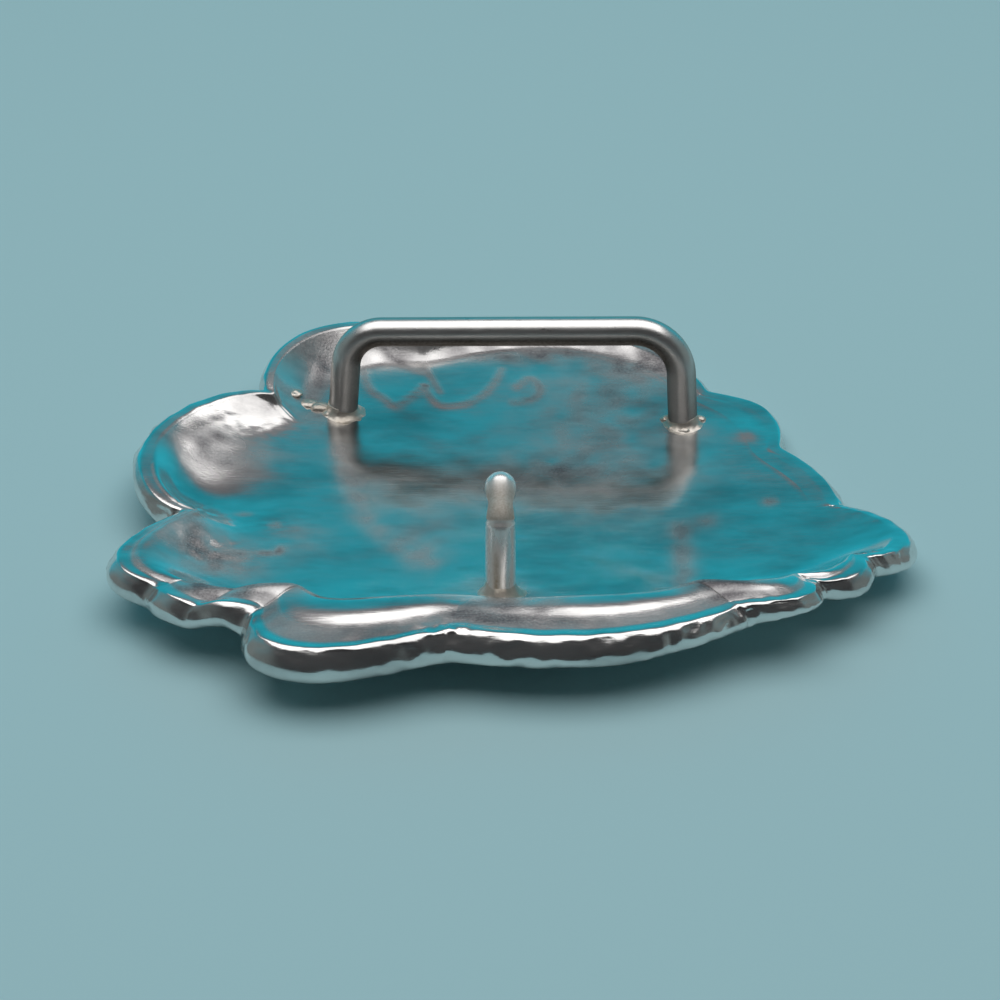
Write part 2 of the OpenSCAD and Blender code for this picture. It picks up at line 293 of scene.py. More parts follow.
# Places on the plate are millimetres from its hub
plateSettings = {
    "hub": (0.1, -3.15),  # where the petals radiate from, so that the plate's box is centred
    "floorHeight": 2.4,
    "floorRise": 0.9,
    "bowlRadius": 30.0,  # distance by which the round middle would have risen as much
    "wall": 1.5,  # thickness of the metal under the dish
    "climb": 3.0,  # how late the steepest walls climb
    "vein": 0.35,
    "restShares": (0.92, 0.84, 0.75, 0.66, 0.58, 0.5),  # the underside's rings, to where it lies flat
    "rimRadius": 1.1,
    "apron": 0.5,  # how far the outer face stands out, as a share of its height
    "rimProfile": ((0, 0), (0.3, 0.06), (0.65, 0.27), (0.95, 0.6), (0.6, 0.9)),  # shares out and down
    "lipRise": 0.25,  # how far the rim stands above the brim, as a share of the brim's step
    "rimWaver": (0.09, 4.5),  # unevenness of the rim, and its size
    "folds": ((0.3, 6.0, 2.0), (0.16, 3.0, 4.0)),  # outer face: depth, length, how many one above another
    "floorBlur": 3.0,  # degrees, so that no crease runs from a notch into the dish
    "wallBlur": 2.5,
    "rimBlur": 0.6,
    "sectionsPerDegree": 2.0,
    "floorRings": 46,
    "wallRings": 34,
    "rimSteps": 4,  # rings for each stretch of the rolled rim
    "faceRings": 20,
    "ridges": (  # height, width and path
        (0.07, 0.5, (
            (-18.8, 32.1), (-17.6, 27.8), (-15.7, 25.5), (-14.5, 23.9), (-13.0, 25.4), (-10.9, 28.5),
        )),
        (0.08, 0.5, (
            (-10.9, 28.5), (-10.3, 26.2), (-9.0, 24.4), (-6.6, 24.5),
            (-4.2, 26.2), (-2.4, 29.5), (-1.5, 32.4),
        )),
        (0.06, 0.5, ((-11.0, 32.6), (-10.1, 30.2), (-9.1, 27.1))),
        (0.06, 0.5, ((0.1, 28.3), (1.9, 30.4), (3.1, 28.5), (2.9, 26.6), (1.3, 25.2), (-0.3, 25.0))),
        (0.06, 0.6, ((-18.9, 35.8), (-16.7, 35.8), (-15.4, 34.5), (-13.5, 33.1), (-11.6, 31.9))),
        (0.12, 1.2, ((-29.9, 24.9), (-27.2, 24.4), (-24.6, 25.6), (-23.3, 31.1))),
    ),
    "lumps": (  # place, height, widths along and across
        (28.5, 17.6, 0.25, 3.0, 2.4),
        (-36.5, -17.0, -0.6, 7.0, 4.0),
        (-38.0, 3.0, -0.9, 7.5, 5.5),
        (-36.0, 15.0, 0.5, 6.0, 5.0),
        (-35.0, -5.5, 0.6, 4.5, 3.5),
        (-3.5, -22.8, -1.1, 6.5, 2.6),
        (-12.5, -1.5, 0.12, 2.8, 4.5),
        (-16.0, 5.0, -0.10, 3.0, 4.0),
        (-9.0, -8.5, 0.08, 3.5, 2.5),
        (-29.0, -5.0, -0.15, 3.5, 3.0),
    ),
    "waver": (0.09, 8.0),  # slow unevenness of the whole casting, and its size
    "ripple": (0.035, 3.0),
    "reliefEnds": (4.0, 2.8),  # how far inside the rim the relief starts to fade, and over what length
    "rough": (  # place, height of its grain, widths along and across
        (-35.5, -10.0, 0.2, 4.0, 4.0),
        (-27.5, -4.0, 0.05, 4.5, 4.5),
        (-33.0, 18.0, 0.07, 5.0, 4.0),
        (-36.6, -0.9, 0.35, 1.8, 1.5),
        (-8.0, -30.5, 0.16, 3.5, 2.0),
        (-16.5, -33.0, 0.14, 1.5, 1.2),
    ),
    "roughSize": 1.0,
    "tarnishAndShadeSpots": (  # tarnish and painted shade in spots on the back: place, amount, widths along and across
        (11.1, 26.5, 0.45, 9.0, 5.0),
        (4.7, 9.4, 0.35, 13.0, 4.0),
        (10.3, 18.4, 0.3, 6.0, 4.0),
        (-24.6, -5.5, 0.25, 3.0, 3.5),
        (-10.3, -4.0, 0.25, 3.0, 6.5),
        (29.6, 2.3, 0.9, 0.7, 0.8),
        (21.9, -1.3, 0.4, 1.6, 1.6),
        (-27.6, -2.3, 0.8, 0.5, 0.6),
        (-35.2, 12.0, 0.8, 5.0, 3.5),
        (-28.5, -8.3, 0.9, 1.2, 0.5),
        (-26.8, -7.6, 0.8, 0.5, 0.9),
        (-31.0, -8.8, 0.6, 0.8, 0.6),
        (-31.5, 0.0, 0.6, 0.9, 0.5),
        (-31.5, 21.5, 0.25, 4.0, 3.0),
        (-34.8, -10.5, 0.9, 5.0, 3.8),
        (-37.5, -5.0, 0.4, 3.0, 4.0),
        (-26.0, 33.0, 0.6, 5.0, 5.0),
        (-15.0, 34.8, 0.6, 6.0, 2.5),
        (2.0, 36.0, 0.7, 12.0, 2.0),
        (16.0, 33.0, 1.1, 4.5, 3.0),
        (9.0, 14.0, 0.2, 9.0, 9.0),
        (-28.0, -21.3, 1.4, 4.5, 2.4),
        (-33.5, -21.0, 1.2, 2.5, 2.0),
        (22.5, -21.5, 1.2, 4.0, 2.4),
        (-1.5, -26.3, 1.0, 6.0, 2.5),
        (-24.0, 21.5, 0.5, 3.0, 3.0),
        (20.0, 17.5, 0.4, 2.4, 2.4),
        (-1.6, -16.0, 0.4, 3.5, 2.5),
    ),
    "reflectionStreaks": (  # painted reflections, darker streaks across the floor: amount, width and path
        (0.35, 1.5, (
            (-20.9, 14.4), (-20.0, 9.7), (-18.4, 4.3), (-17.7, 0.1),
            (-15.5, -3.1), (-13.2, -6.2), (-10.3, -9.2),
        )),
        (0.4, 1.4, ((19.0, -2.6), (19.2, -9.0), (18.6, -14.5))),
    ),
    "patchSize": 2.2,  # of the unevenness of the tarnish and shade spots and of the reflection streaks
    # Painted shade along the ridges
    "ridgeShade": 0.5,
    "brimTarnishAndShade": 0.5,  # tarnish and painted shade in the gutter between the brim's fall and the rim
    "faceDull": 0.12,  # on the outer face
}


def along(i, t, column):
    values = petals[column]
    return mix(values[i], np.roll(values, -1)[i], t)


# A column that keeps its value through most of a petal and changes softly at the notches
def eased(i, t, column):
    values = petals[column]
    start = (values + np.roll(values, 1))[i] / 2
    end = (values + np.roll(values, -1))[i] / 2
    return np.where(t < 0.5, mix(start, values[i], smooth(2 * t)), mix(values[i], end, smooth(2 * t - 1)))


def swelling(i, t):
    return arch(t ** petals["lean"][i]) ** petals["full"][i]


def rimRadius(i, t):
    return along(i, t, "radius") + petals["bulge"][i] * swelling(i, t)


def rimHeight(i, t):
    return along(i, t, "height") + petals["lift"][i] * arch(t) ** 0.6


def floorRadius(i, t):
    return along(i, smooth(t), "floor") + petals["spread"][i] * swelling(i, t)


# How far the brim has fallen, from 0 at the wall's top to 1 at the rim: a soft step, then an even slope
def brimFall(u):
    return 0.6 * smooth((u - 0.33) / 0.3) + 0.4 * np.clip((u - 0.5) / 0.46, 0, 1)


# Height at share q of the way from the floor's edge to the rim
def wallHeight(i, t, q, low, high, s):
    reach = eased(i, t, "reach")
    step = eased(i, t, "step")
    climbed = np.minimum(1, q / reach)
    climbing = mix(climbed ** s["climb"], smooth(climbed), eased(i, t, "flare"))
    brim = np.clip((q - reach) / np.maximum(1 - reach, 0.01), 0, 1)
    return mix(low, high + step, climbing) - step * np.where(reach < 1, brimFall(brim), smooth(q))


def backHeight(i, t, q, s):
    high = rimHeight(i, t) - s["lipRise"] * eased(i, t, "step")
    return wallHeight(i, t, q, s["floorHeight"] + s["floorRise"], high, s)


def faceHeight(i, t, q, s):
    low = s["floorHeight"] + s["floorRise"] - s["wall"]
    high = rimHeight(i, t) - eased(i, t, "face")
    return wallHeight(i, t, q, low, high, s) + s["vein"] * arch(q) * np.cos(6 * np.pi * t)


# Petal and share of the petal at each angle
def placeOnRim(degrees):
    turned = (np.asarray(degrees, float) - petals["angle"][0]) % 360
    starts = petals["angle"] - petals["angle"][0]
    i = np.searchsorted(starts, turned, side="right") - 1
    return i, (turned - starts[i]) / petalSpans[i]


# A size all round the plate, blurred along the rim by some degrees
def blurred(sizeAt, blur, pitch=0.25):
    turns = np.arange(-90, 450, pitch)
    kernel = np.exp(-0.5 * (np.arange(-10, 10 + pitch / 2, pitch) / blur) ** 2)
    return turns, np.convolve(sizeAt(*placeOnRim(turns)), kernel / kernel.sum(), "same")


softFloor = blurred(floorRadius, plateSettings["floorBlur"])
softWall = blurred(rimRadius, plateSettings["wallBlur"])
softRim = blurred(rimRadius, plateSettings["rimBlur"])
softTop = blurred(rimHeight, plateSettings["rimBlur"])


def around(table, degrees):
    return np.interp(np.asarray(degrees) % 360, *table)


# Height of the floor: round near the middle, and following its edge further out
def floorHeight(r, edge, s):
    share = np.minimum(r / edge, 1)
    rise = mix((r / s["bowlRadius"]) ** 2, share ** 2, smooth((share - 0.4) / 0.55))
    return s["floorHeight"] + s["floorRise"] * rise


# Height of the dish at points of the plan, without relief
def backAt(x, y, s=plateSettings):
    x, y = x - s["hub"][0], y - s["hub"][1]
    degrees = np.degrees(np.arctan2(y, x))
    i, t = placeOnRim(degrees)
    edge = around(softFloor, degrees)
    r = np.hypot(x, y)
    q = np.clip((r - edge) / (around(softRim, degrees) - s["rimRadius"] - edge), 0, 1)
    return np.where(r < edge, floorHeight(r, edge, s), backHeight(i, t, q, s))


# Places round the rim, closer together near the notches, with four times as many as the middle needs
def rimStations(s):
    petal, share = [], []
    for i, span in enumerate(petalSpans):
        steps = 4 * max(4, round(span * s["sectionsPerDegree"] / 4))
        petal += [i] * steps
        share += [(1 - math.cos(math.pi * k / steps)) / 2 for k in range(steps)]
    return np.array(petal), np.array(share)


# Smooth curve through control points, for every station at once where each point is a column
def throughPoints(points, steps):
    padded = [2 * points[0] - points[1], *points, 2 * points[-1] - points[-2]]
    found = []
    for a, b, c, d in zip(padded, padded[1:], padded[2:], padded[3:]):
        for k in range(steps):
            u = k / steps
            found.append(0.5 * (
                2 * b + (c - a) * u + (2 * a - 5 * b + 4 * c - d) * u * u + (3 * b - a - 3 * c + d) * u ** 3
            ))
    return found + [points[-1]]


def smoothPath(places, steps=8):
    return np.array(throughPoints([np.array(p, float) for p in places], steps))


# Distance from each point of the plan to a path, and how far along the path it is
def nearPath(x, y, path):
    best, share = np.full(x.shape, 1e9), np.zeros(x.shape)
    starts, runs = path[:-1], np.diff(path, axis=0)
    for k, (start, run) in enumerate(zip(starts, runs)):
        u = np.clip(((x - start[0]) * run[0] + (y - start[1]) * run[1]) / (run @ run), 0, 1)
        d = np.hypot(x - start[0] - u * run[0], y - start[1] - u * run[1])
        nearer = d < best
        best[nearer] = d[nearer]
        share[nearer] = ((k + u) / len(runs))[nearer]
    return best, share


def mound(x, y, place):
    cx, cy, amount, wide, deep = place
    return amount * np.exp(-(((x - cx) / wide) ** 2) - ((y - cy) / deep) ** 2)


def backRelief(x, y, s):
    (waver, waverSize), (ripple, rippleSize) = s["waver"], s["ripple"]
    height = waver * grainAt(x, y, waverSize) + ripple * grainAt(x, y, rippleSize, layer=2.0)
    for tall, wide, places in s["ridges"]:
        d, share = nearPath(x, y, smoothPath(places))
        height += tall * np.exp(-((d / wide) ** 2)) * np.clip(6 * arch(share) ** 0.7, 0, 1)
    for lump in s["lumps"]:
        height += mound(x, y, lump)
    return height


def roughness(x, y, s):
    amount = sum(mound(x, y, place) for place in s["rough"])
    size = s["roughSize"]
    return amount * (grainAt(x, y, size, layer=3.0) + 0.5 * grainAt(x, y, size / 2, layer=7.0))


# Distances and heights of the plate's rings, from the middle of its back round the rim to that of its face
def plateRings(s):
    i, t = rimStations(s)
    degrees = petals["angle"][i] + petalSpans[i] * t
    edge, rim, top = around(softFloor, degrees), around(softRim, degrees), around(softTop, degrees)
    drop, bead = eased(i, t, "face"), s["rimRadius"]
    lip, under = rim - bead, rim - 1.2 * bead
    softLip = np.minimum(around(softWall, degrees) - bead, lip + 0.12 * (lip - edge))
    radii, heights = [], []
    for k in range(1, s["floorRings"] + 1):
        share = k / s["floorRings"]
        radii.append(edge * share)
        heights.append(floorHeight(edge * share, edge, s))
    for k in range(1, s["wallRings"]):
        q = k / s["wallRings"]
        radii.append(mix(edge, mix(softLip, lip, smooth((q - 0.6) / 0.4)), q))
        heights.append(backHeight(i, t, q + 0 * edge, s))
    for _ in range(6):  # eases the corner between floor and wall
        column = np.array(heights)
        column[1:-1] = (column[:-2] + 2 * column[1:-1] + column[2:]) / 4
        heights = list(column)
    apron = s["apron"] * drop
    rimPoints = [
        np.array([lip, top - s["lipRise"] * eased(i, t, "step")]),
        *(np.array([rim + out * apron, top - down * drop]) for out, down in s["rimProfile"]),
        np.array([under, top - drop]),
    ]
    backCount = len(radii)
    for r, z in throughPoints(rimPoints, s["rimSteps"]):
        radii.append(r)
        heights.append(z)
    rimCount = len(radii) - backCount
    for k in range(1, s["faceRings"] + 1):
        q = 1 - k / s["faceRings"]
        radii.append(mix(edge, under, q))
        heights.append(faceHeight(i, t, q + 0 * edge, s))
    height = s["floorHeight"] + s["floorRise"] - s["wall"]
    rest = s["restShares"][-1]
    for share in s["restShares"]:
        radii.append(edge * share)
        heights.append(height * ((share - rest) / (1 - rest)) ** 1.5 + 0 * edge)
    return i, t, np.array(radii), np.array(heights), backCount, rimCount


# Dullness of the plate: tarnish and painted shade in spots on the back, painted reflections in streaks,
# painted shade along its ridges, tarnish and painted shade on the brim, and a little dullness on the outer
# face
def plateDullnessAndShade(i, t, x, y, backCount, rimCount, s):
    dull = np.zeros(x.shape)
    upper = slice(0, backCount + 4)
    outer = slice(backCount + 9, backCount + rimCount)
    patchy = 0.9 + 0.9 * grainAt(x[upper], y[upper], s["patchSize"], layer=21.0)
    # Tarnish and painted shade in spots
    for tarnishAndShadeSpot in s["tarnishAndShadeSpots"]:
        dull[upper] += mound(x[upper], y[upper], tarnishAndShadeSpot) * patchy
    # Painted reflections: darker streaks across the floor
    for amount, wide, places in s["reflectionStreaks"]:
        d, _ = nearPath(x[upper], y[upper], smoothPath(places))
        dull[upper] += amount * np.exp(-((d / wide) ** 2)) * patchy
    # Painted shade along the ridges
    for _, wide, places in s["ridges"]:
        d, _ = nearPath(x[upper], y[upper], smoothPath(places))
        dull[upper] += s["ridgeShade"] * np.exp(-((d / wide) ** 2))
    # Tarnish and painted shade on the brim
    degrees = petals["angle"][i] + petalSpans[i] * t
    edge, lip = around(softFloor, degrees), around(softRim, degrees) - s["rimRadius"]
    q = (np.hypot(x, y)[upper] - edge) / (lip - edge)
    reach = eased(i, t, "reach")
    brim = (q - reach) / np.maximum(1 - reach, 0.01)
    onBrim = smooth((brim - 0.55) / 0.15) * smooth((1.02 - brim) / 0.1) * (reach < 0.97)
    dull[upper] += s["brimTarnishAndShade"] * onBrim
    dull[outer] += s["faceDull"]
    return np.clip(dull, 0, 1)


# Faces between rings, each with as many points as the ring inside it or twice as many
def joinRings(rings):
    faces = []
    for inner, outer in zip(rings, rings[1:]):
        nextInner = np.roll(inner, -1)
        if len(inner) == len(outer):
            faces += np.stack([inner, outer, np.roll(outer, -1), nextInner], -1).tolist()
            continue
        halfway, nextEven = outer[1::2], np.roll(outer[::2], -1)
        faces += np.stack([inner, outer[::2], halfway], -1).tolist()
        faces += np.stack([inner, halfway, nextInner], -1).tolist()
        faces += np.stack([nextInner, halfway, nextEven], -1).tolist()
    return faces


def makePlate(s):
    i, t, radii, heights, backCount, rimCount = plateRings(s)
    angles = np.radians(petals["angle"][i] + petalSpans[i] * t)
    rim = rimRadius(i, t)
    arc = angles * rim
    outer = slice(backCount + 3, backCount + rimCount)
    down = np.linspace(0, 1, rimCount - 3)[:, None]
    for depth, length, lines in s["folds"]:
        folds = grainAt(arc / length + 0.7 * down, lines * down + 0 * arc, 1.0, layer=lines)
        radii[outer] += depth * (0.5 - 2 * np.abs(folds)) * arch(down)
    rise, size = s["rimWaver"]
    near = smooth((np.arange(len(radii)) - backCount + 10) / 10)[:, None]
    near[backCount + rimCount:] = 0
    radii += near * rise * grainAt(arc / size, 0 * arc, 1.0, layer=11.0)
    heights += near * rise * grainAt(arc / size, 0 * arc, 1.0, layer=15.0)
    x, y = radii * np.cos(angles), radii * np.sin(angles)
    inside, length = s["reliefEnds"]
    fading = 1 - smooth((radii[:backCount] - rim + inside) / length)
    heights[:backCount] += backRelief(x[:backCount], y[:backCount], s) * fading
    upper = slice(s["floorRings"] // 2, backCount + 8)
    heights[upper] += roughness(x[upper], y[upper], s)
    dull = plateDullnessAndShade(i, t, x, y, backCount, rimCount, s)
    points = np.stack([x + s["hub"][0], y + s["hub"][1], heights, dull], -1)
    rings, kept, count = [], [], 0
    for k, ring in enumerate(points):
        share = k / s["floorRings"]
        skip = 4 if share < 0.25 else 2 if share < 0.5 else 1  # the floor's middle needs fewer points
        part = ring[::skip]
        kept.append(part)
        rings.append(np.arange(count, count + len(part)))
        count += len(part)
    kept.append(np.array([[*s["hub"], s["floorHeight"], 0], [*s["hub"], 0, 0]]))
    kept = np.concatenate(kept)
    faces = joinRings(rings)
    first, last = rings[0], rings[-1]
    faces += [[count, a, b] for a, b in zip(first.tolist(), np.roll(first, -1).tolist())]
    faces += [[count + 1, b, a] for a, b in zip(last.tolist(), np.roll(last, -1).tolist())]
    return makeMesh("castPlate", kept[:, :3], faces, plateSilver, kept[:, 3])


plate = makePlate(plateSettings)
print("plate made")


# Bail: a round wire bent to a square-shouldered loop

bailSettings = {
    "wire": 3.5,
    "leftFoot": (-20.7, 19.3),
    "rightFoot": (20.4, 16.9),
    "leftHeight": 10.2,
    "rightHeight": 11.6,
    "legIn": 0.7,
    "bends": (4.5, 5.6),  # radius of the left and right bend, to the wire's centre
    "lean": 11.0,
    "sunk": 0.9,
    "pitch": 0.35,  # length between the rings of the wire
    "sides": 48,
    "waver": 0.04,  # how uneven the wire is
    "waversPerMm": 0.22,
    "shadedUnderside": (-0.3, 0.7),  # painted shade: how far up its sides face where they are darkest and dullest, and where no longer shaded
}


# Points of a path whose inner corners are rounded, each to its own radius
def roundedPath(corners, bends, pitch):
    corners = [Vector(c) for c in corners]
    points = [corners[0]]
    for a, b, c, radius in zip(corners, corners[1:], corners[2:], bends):
        back, on = (a - b).normalized(), (c - b).normalized()
        half = back.angle(on) / 2
        centre = b + (back + on).normalized() * radius / math.sin(half)
        start, stop = b + back * radius / math.tan(half), b + on * radius / math.tan(half)
        steps = max(8, round(radius * (math.pi - 2 * half) / pitch))
        sweep = (start - centre).rotation_difference(stop - centre)
        for k in range(steps + 1):
            turn = Matrix.Rotation(sweep.angle * k / steps, 4, sweep.axis)
            points.append(centre + turn @ (start - centre))
    return points + [corners[-1]]


def addCurve(name, points):
    data = bpy.data.curves.new(name, "CURVE")
    data.dimensions = "3D"
    spline = data.splines.new("POLY")
    spline.points.add(len(points) - 1)
    for k, p in enumerate(points):
        spline.points[k].co = (*(Vector(p) * mm), 1)
    return addObject(name, data)


def newTree(name, **sizes):
    tree = bpy.data.node_groups.new(name, "GeometryNodeTree")
    tree.interface.new_socket("Geometry", in_out="INPUT", socket_type="NodeSocketGeometry")
    kinds = {float: "NodeSocketFloat", int: "NodeSocketInt", bpy.types.Material: "NodeSocketMaterial"}
    for label, value in sizes.items():
        tree.interface.new_socket(label, in_out="INPUT", socket_type=kinds[type(value)])
    tree.interface.new_socket("Geometry", in_out="OUTPUT", socket_type="NodeSocketGeometry")
    return tree


# Runs a tree on an object and leaves its result as a plain mesh at the origin
def growMesh(name, source, tree, **sizes):
    modifier = source.modifiers.new(tree.name, "NODES")
    modifier.node_group = tree
    sockets = {item.name: item.identifier for item in tree.interface.items_tree if item.in_out == "INPUT"}
    for label, value in sizes.items():
        modifier[sockets[label]] = value
    grown = source.evaluated_get(bpy.context.evaluated_depsgraph_get())
    mesh = bpy.data.meshes.new_from_object(grown)
    mesh.name = name
    mesh.polygons.foreach_set("use_smooth", [True] * len(mesh.polygons))
    bpy.data.objects.remove(source)
    return addObject(name, mesh)


# Moves a geometry's points along their normals by noise, then gives it its metal
def finishTree(tree, shape, start, perMm, detail):
    link = tree.links.new
    grain = addNode(tree, "ShaderNodeTexNoise", Scale=perMm / mm, Detail=detail)
    centred = calc(tree, "SUBTRACT", grain.outputs["Fac"], 0.5)
    amount = calc(tree, "MULTIPLY", centred, start.outputs["Waver"])
    push = addNode(tree, "ShaderNodeVectorMath", operation="SCALE")
    uneven = addNode(tree, "GeometryNodeSetPosition")
    whole = addNode(tree, "GeometryNodeRealizeInstances")
    metal = addNode(tree, "GeometryNodeSetMaterial")
    end = addNode(tree, "NodeGroupOutput")
    link(addNode(tree, "GeometryNodeInputNormal").outputs[0], push.inputs[0])
    link(amount, push.inputs["Scale"])
    link(shape, uneven.inputs["Geometry"])
    link(push.outputs[0], uneven.inputs["Offset"])
    link(uneven.outputs["Geometry"], whole.inputs["Geometry"])
    link(whole.outputs["Geometry"], metal.inputs["Geometry"])
    link(start.outputs["Metal"], metal.inputs["Material"])
    link(metal.outputs["Geometry"], end.inputs["Geometry"])


def wireTree(s):
    tree = newTree("wireAlongPath", Radius=0.001, Sides=32, Waver=0.0, Pitch=0.001, Metal=wireSilver)
    link = tree.links.new
    start = addNode(tree, "NodeGroupInput")
    even = addNode(tree, "GeometryNodeResampleCurve", mode="LENGTH")
    ring = addNode(tree, "GeometryNodeCurvePrimitiveCircle")
    tube = addNode(tree, "GeometryNodeCurveToMesh")
    tube.inputs["Fill Caps"].default_value = True
    link(start.outputs["Geometry"], even.inputs["Curve"])
    link(start.outputs["Pitch"], even.inputs["Length"])
    link(even.outputs["Curve"], tube.inputs["Curve"])
    link(start.outputs["Radius"], ring.inputs["Radius"])
    link(start.outputs["Sides"], ring.inputs["Resolution"])
    link(ring.outputs["Curve"], tube.inputs["Profile Curve"])
    finishTree(tree, tube.outputs["Mesh"], start, s["waversPerMm"], 2.0)
    return tree


def makeBail(s):
    left, right = Vector(s["leftFoot"]), Vector(s["rightFoot"])
    apart = (right - left).length
    base = min(float(backAt(*left)), float(backAt(*right)))
    corners = [
        (0, -s["sunk"], 0),
        (s["legIn"], s["leftHeight"], 0),
        (apart - s["legIn"], s["rightHeight"], 0),
        (apart, -s["sunk"], 0),
    ]
    way = math.atan2(right.y - left.y, right.x - left.x)
    stand = (
        Matrix.Translation((left.x, left.y, base))
        @ Matrix.Rotation(way, 4, "Z")
        @ Matrix.Rotation(math.radians(90 - s["lean"]), 4, "X")
    )
    path = [stand @ p for p in roundedPath(corners, s["bends"], s["pitch"])]
    return growMesh(
        "bailWire", addCurve("bailPath", path), wireTree(s),
        Radius=s["wire"] / 2 * mm, Sides=s["sides"], Waver=s["waver"] * mm, Pitch=s["pitch"] * mm,
        Metal=wireSilver,
    )


# Painted shade: darkens and dulls a piece where it faces down
def dullAndShadeBelow(piece, low, high):
    normals = np.empty(3 * len(piece.data.vertices), np.float32)
    piece.data.vertices.foreach_get("normal", normals)
    setDull(piece.data, smooth((high - normals[2::3]) / (high - low)))


bail = makeBail(bailSettings)
dullAndShadeBelow(bail, *bailSettings["shadedUnderside"])
print("bail made")


# Hook: a post with a bent, ball-tipped arm

hookSettings = {
    "foot": (-1.6, -19.6),
    "post": 3.3,
    "postLength": 9.2,
    "postLean": 15.0,
    "postSwell": 0.05,
    "waist": 2.7,
    "waistPlace": 0.25,  # share of the way from the elbow to the ball
    "neck": 0.87,  # how wide the end of the bend is, as a share of the post
    "ball": 3.5,
    "arm": 4.1,
    "armLean": 72.0,
    "elbow": 0.9,  # length that the bend takes on each side
    "crease": 0.12,  # depth of the line between post and arm
    "creasePlace": (0.2, 0.09),  # share of the bend where it lies, and its width
    "sunk": 0.9,
    "sides": 48,
    "postRings": 24,
    "bendRings": 12,
    "armRings": 28,
    "tipRings": 15,
    "bendDull": 0.2,  # below the crease
    "armDull": 0.75,
    "shadeStripe": 0.8,  # painted shade: darkness and dullness of a stripe down the post's side towards the front edge
    "stripePlace": (1.85, 0.35),  # angle round the post where it is greatest, and its width
    "stripeTop": (22, 9),  # the ring where it has faded away, and over how many rings it fades
}


# Centre, direction, radius and dullness of each ring, from the foot to the tip
def hookRings(s):
    def towards(lean):
        return Vector((0, math.sin(math.radians(lean)), math.cos(math.radians(lean))))
    foot = Vector((*s["foot"], float(backAt(*s["foot"]))))
    postWay, armWay = towards(s["postLean"]), towards(s["armLean"])
    post, waist, ball = s["post"] / 2, s["waist"] / 2, s["ball"] / 2
    elbow = foot + postWay * s["postLength"]
    shoulder, neck = elbow - postWay * s["elbow"], elbow + armWay * s["elbow"]
    tip = elbow + armWay * s["arm"]
    rings = []
    for k in range(s["postRings"] + 1):
        share = k / s["postRings"]
        centre = (foot - postWay * s["sunk"]).lerp(shoulder, share)
        rings.append((centre, postWay, post + s["postSwell"] * math.sin(math.pi * share), 0.0))
    creaseAt, creaseWidth = s["creasePlace"]
    for k in range(1, s["bendRings"] + 1):
        share = k / s["bendRings"]
        centre = shoulder.lerp(elbow, share).lerp(elbow.lerp(neck, share), share)
        way = towards(mix(s["postLean"], s["armLean"], float(smooth(share))))
        groove = s["crease"] * math.exp(-(((share - creaseAt) / creaseWidth) ** 2))
        dull = s["armDull"] if share > 0.25 else s["bendDull"]
        rings.append((centre, way, post * mix(1, s["neck"], share) - groove, dull))
    for k in range(1, s["armRings"] + 1):
        share = k / s["armRings"]
        narrow = mix(post * s["neck"], waist, float(smooth(share / s["waistPlace"])))
        swell = float(smooth((share - s["waistPlace"]) / (1 - s["waistPlace"])))
        dull = s["armDull"] * (1 - share ** 3)
        rings.append((neck.lerp(tip, share), armWay, mix(narrow, ball, swell), dull))
    for k in range(1, s["tipRings"]):
        turn = math.pi / 2 * k / s["tipRings"]
        rings.append((tip + armWay * ball * math.sin(turn), armWay, ball * math.cos(turn), 0.0))
    return rings, tip + armWay * ball


# Closed skin through rings of one size, with a point at each end
def skinRings(count, sides):
    faces = [
        [j * sides + k, j * sides + (k + 1) % sides, (j + 1) * sides + (k + 1) % sides, (j + 1) * sides + k]
        for j in range(count - 1) for k in range(sides)
    ]
    base, end, last = count * sides, count * sides + 1, (count - 1) * sides
    faces += [[base, (k + 1) % sides, k] for k in range(sides)]
    faces += [[end, last + k, last + (k + 1) % sides] for k in range(sides)]
    return faces


def makeHook(s):
    rings, end = hookRings(s)
    side = Vector((1, 0, 0))
    stripeAt, stripeWidth = s["stripePlace"]
    stripeEnd, fadeRings = s["stripeTop"]
    points, dull = [], []
    for row, (centre, way, radius, dullness) in enumerate(rings):
        up = way.cross(side)
        fading = float(smooth((stripeEnd - row) / fadeRings))
        for k in range(s["sides"]):
            a = 2 * math.pi * k / s["sides"]
            points.append(centre + (side * math.cos(a) - up * math.sin(a)) * radius)
            # Painted shade: a darker stripe down the post's side
            shadeStripe = s["shadeStripe"] * math.exp(-(((a - stripeAt) / stripeWidth) ** 2))
            dull.append(min(1, dullness + shadeStripe * fading))
    points += [rings[0][0], end]
    faces = skinRings(len(rings), s["sides"])
    return makeMesh("hookStud", [tuple(p) for p in points], faces, hookSilver, dull + [0, 0])


hook = makeHook(hookSettings)
print("hook made")


# Solder: a collar round each foot, with beads and flows beside them

